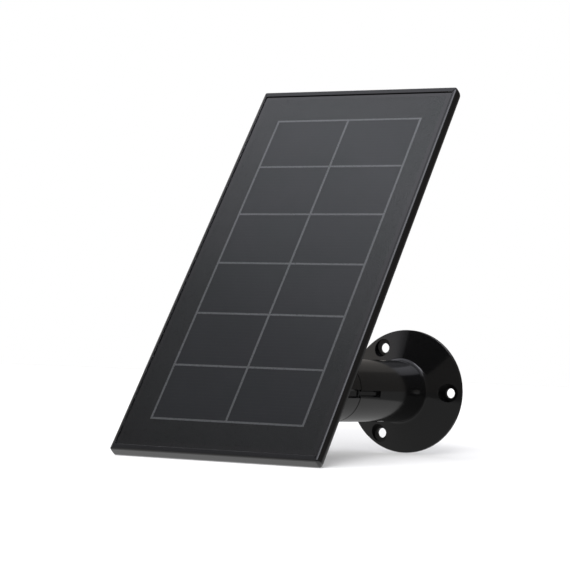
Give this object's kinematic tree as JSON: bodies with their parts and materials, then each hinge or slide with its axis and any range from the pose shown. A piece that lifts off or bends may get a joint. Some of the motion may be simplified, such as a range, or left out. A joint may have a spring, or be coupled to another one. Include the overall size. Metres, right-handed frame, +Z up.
{
  "type": "solar charging panel with wall arm",
  "caption": "Flat solar charging panel for an outdoor camera, held by a ball joint on a round-plate wall arm, with a lock ring, a jam nut and a covered power outlet.",
  "frame": {"origin": "centre of the wall plate's back face, on the axis of the arm", "axes": "+Y into the wall along the arm, +Z up, +X to the right as seen from in front of the panel"},
  "size_m": [0.11, 0.2014, 0.185],
  "materials": {
    "arm_plastic": "glossy moulded black",
    "shield_plastic": "satin moulded black",
    "ball_plastic": "polished moulded black",
    "nut_plastic": "satin moulded black",
    "cup_nylon": "natural nylon",
    "seal_rubber": "moulded",
    "spring_steel": "spring steel",
    "stud_steel": "zinc plated",
    "washer_steel": "zinc plated",
    "screw_steel": "black zinc",
    "frame_plastic": "satin moulded black",
    "shell_plastic": "fine spark texture",
    "cover_glass": "clear, glossy",
    "clear_film": "clear film",
    "cell_silicon": "dark silicon",
    "grid_silver": "printed silver",
    "mask_film": "dark film",
    "board_laminate": "glass-fibre laminate",
    "foam_tape": "foam",
    "ribbon_copper": "tinned copper",
    "insert_brass": "turned",
    "board_green": "solder mask",
    "inductor_core": "ferrite",
    "capacitor_can": "drawn can",
    "chip_epoxy": "epoxy",
    "socket_metal": "nickel plated",
    "cover_rubber": "soft moulded",
    "lead_red": "silicone jacket",
    "lead_black": "silicone jacket",
    "membrane_white": "woven membrane"
  },
  "bodies": {
    "wall_mount": {"wall_base": "arm_plastic", "friction_cup": "cup_nylon", "disc_springs": "spring_steel"},
    "seal": {"ring_seal": "seal_rubber"},
    "lock_ring": {"lock_ring": "arm_plastic"},
    "swivel": {"ball_shield": "shield_plastic"},
    "ball": {"pivot_ball": "ball_plastic", "stud_washer": "spring_steel"},
    "panel": {"stud": "stud_steel", "front_frame": "frame_plastic", "cover_glass": "cover_glass", "encapsulant": "clear_film", "cell_grid": "grid_silver", "border_mask": "mask_film", "solar_cell_1": "cell_silicon", "solar_cell_2": "cell_silicon", "solar_cell_3": "cell_silicon", "solar_cell_4": "cell_silicon", "solar_cell_5": "cell_silicon", "solar_cell_6": "cell_silicon", "solar_cell_7": "cell_silicon", "solar_cell_8": "cell_silicon", "solar_cell_9": "cell_silicon", "solar_cell_10": "cell_silicon", "solar_cell_11": "cell_silicon", "solar_cell_12": "cell_silicon", "backing_board": "board_laminate", "edge_tape": "foam_tape", "ribbons": "ribbon_copper", "case_gasket": "seal_rubber", "back_shell": "shell_plastic", "case_screws": "screw_steel", "stud_insert": "insert_brass", "circuit_board": "board_green", "inductor": "inductor_core", "capacitors": "capacitor_can", "diodes": "chip_epoxy", "regulator_chip": "chip_epoxy", "output_socket": "socket_metal", "socket_gasket": "seal_rubber", "port_pin": "screw_steel", "positive_lead": "lead_red", "negative_lead": "lead_black", "board_screws": "screw_steel", "vent_membrane": "membrane_white"},
    "nut_washer": {"jam_washer": "washer_steel"},
    "jam_nut": {"jam_nut": "nut_plastic"},
    "port_cover": {"port_cover": "cover_rubber"}
  },
  "joints": [
    {"name": "ring_advance", "type": "slide", "parent": "wall_mount", "child": "seal", "axis": [0, -1, 0], "range_m": [0, 0.00075]},
    {"name": "ring_turn", "type": "hinge", "parent": "seal", "child": "lock_ring", "pos_m": [0, -0.1, 0], "axis": [0, -1, 0], "range_deg": [0, 90]},
    {"name": "arm_swivel", "type": "hinge", "parent": "wall_mount", "child": "swivel", "pos_m": [0, -0.118, 0], "axis": [0, -1, 0], "continuous": true},
    {"name": "panel_tilt", "type": "hinge", "parent": "swivel", "child": "ball", "pos_m": [0, -0.118, 0], "axis": [-1, 0, 0], "range_deg": [-80, 7.9]},
    {"name": "panel_spin", "type": "hinge", "parent": "ball", "child": "panel", "pos_m": [0, -0.118, 0], "axis": [0, -0.808, 0.5892], "continuous": true},
    {"name": "nut_advance", "type": "slide", "parent": "panel", "child": "nut_washer", "axis": [0, 0.808, -0.5892], "range_m": [0, 0.00127]},
    {"name": "nut_turn", "type": "hinge", "parent": "nut_washer", "child": "jam_nut", "pos_m": [0, -0.13739, 0.01414], "axis": [0, 0.808, -0.5892], "range_deg": [0, 360]},
    {"name": "cover_hinge", "type": "hinge", "parent": "panel", "child": "port_cover", "pos_m": [0, -0.16229, -0.00966], "axis": [1, 0, 0], "range_deg": [0, 120]}
  ],
  "couplings": [
    {"joint": "ring_turn", "follows": "ring_advance", "rad_per_m": 2094.4},
    {"joint": "nut_turn", "follows": "nut_advance", "rad_per_m": 4947.3}
  ]
}
